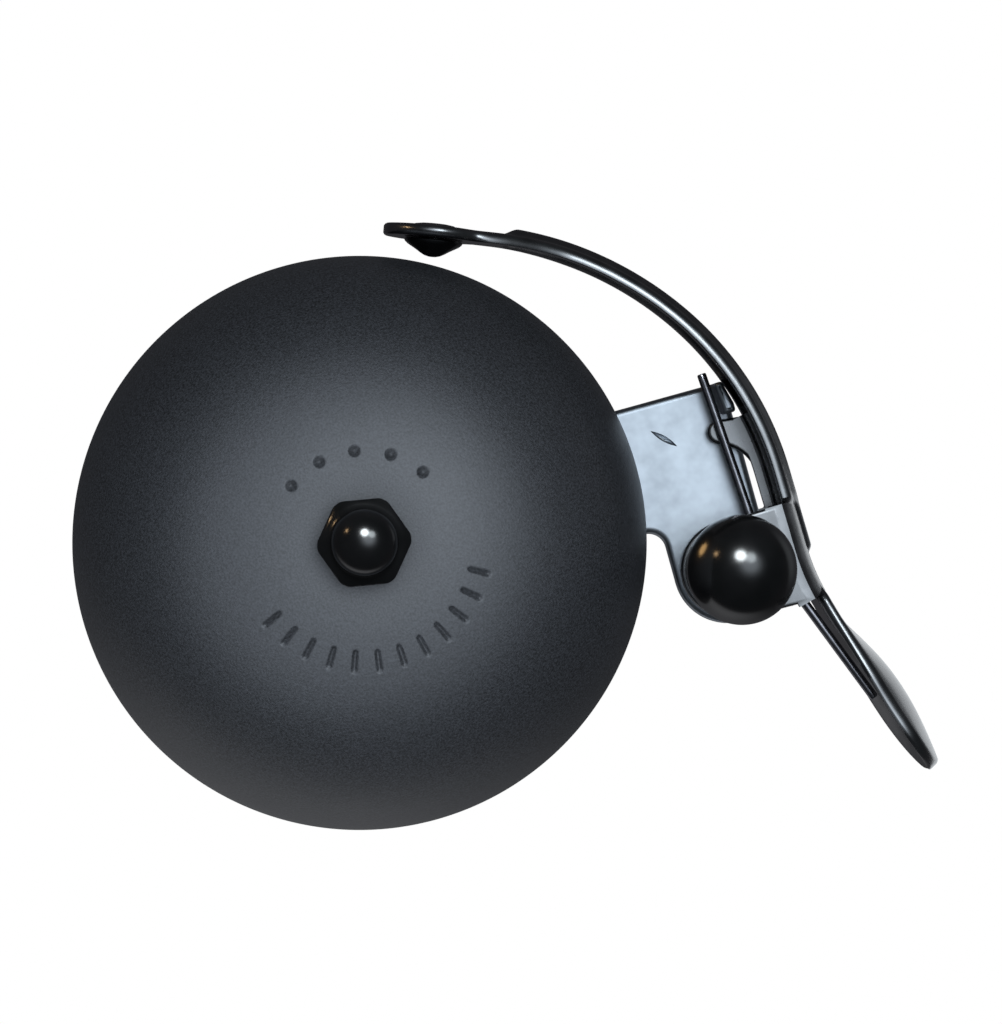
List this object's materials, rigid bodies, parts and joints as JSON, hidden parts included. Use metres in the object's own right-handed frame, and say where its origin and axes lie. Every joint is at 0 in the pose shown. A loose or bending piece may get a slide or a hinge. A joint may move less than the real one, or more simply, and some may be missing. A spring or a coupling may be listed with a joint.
{
  "type": "bicycle bell",
  "caption": "Handlebar bell: a round steel dome on a strap clamp, struck by a sprung side lever with a thumb pad and a ball knob on its pivot.",
  "frame": {"origin": "on the handlebar's axis, under the middle of the dome", "axes": "+Z along the dome's axis, away from the handlebar; the handlebar runs along Y; +X towards the striker lever"},
  "size_m": [0.0755, 0.0647, 0.0727],
  "materials": {
    "dome_paint": "matte black powder coat with a fine grain",
    "black_gloss": "gloss black",
    "black_bracket": "gloss black electrocoat, slightly wavy",
    "black_lever": "gloss black electrocoat",
    "spring_wire": "black plated wire with a soft shine",
    "plated_steel": "bright zinc plate",
    "nylon": "black nylon",
    "rubber": "soft matte black rubber"
  },
  "bodies": {
    "bell": {"bell_dome": "dome_paint", "acorn_nut": "black_gloss", "centre_bolt": "plated_steel", "bracket_lock_washer": "plated_steel", "bracket_jam_nut": "plated_steel", "dome_spacer": "plated_steel", "dome_washer": "rubber", "bracket": "black_bracket", "clamp_strap": "black_bracket", "clamp_liner": "rubber", "clamp_screw": "plated_steel", "clamp_washer": "plated_steel", "clamp_nut": "plated_steel", "pivot_stud": "plated_steel", "pivot_lower_washer": "nylon", "pivot_sleeve": "plated_steel", "pivot_upper_washer": "nylon", "ball_knob": "black_gloss", "torsion_spring": "spring_wire"},
    "striker": {"striker_lever": "black_lever", "striker_hammer": "black_gloss"}
  },
  "joints": [
    {"name": "striker_pivot", "type": "hinge", "parent": "bell", "child": "striker", "pos_m": [0.03375, -0.012, 0.0207], "axis": [0, 0, 1], "range_deg": [-25, 1], "stiffness_Nm_per_rad": 0.07, "deforming": ["torsion_spring"]}
  ]
}
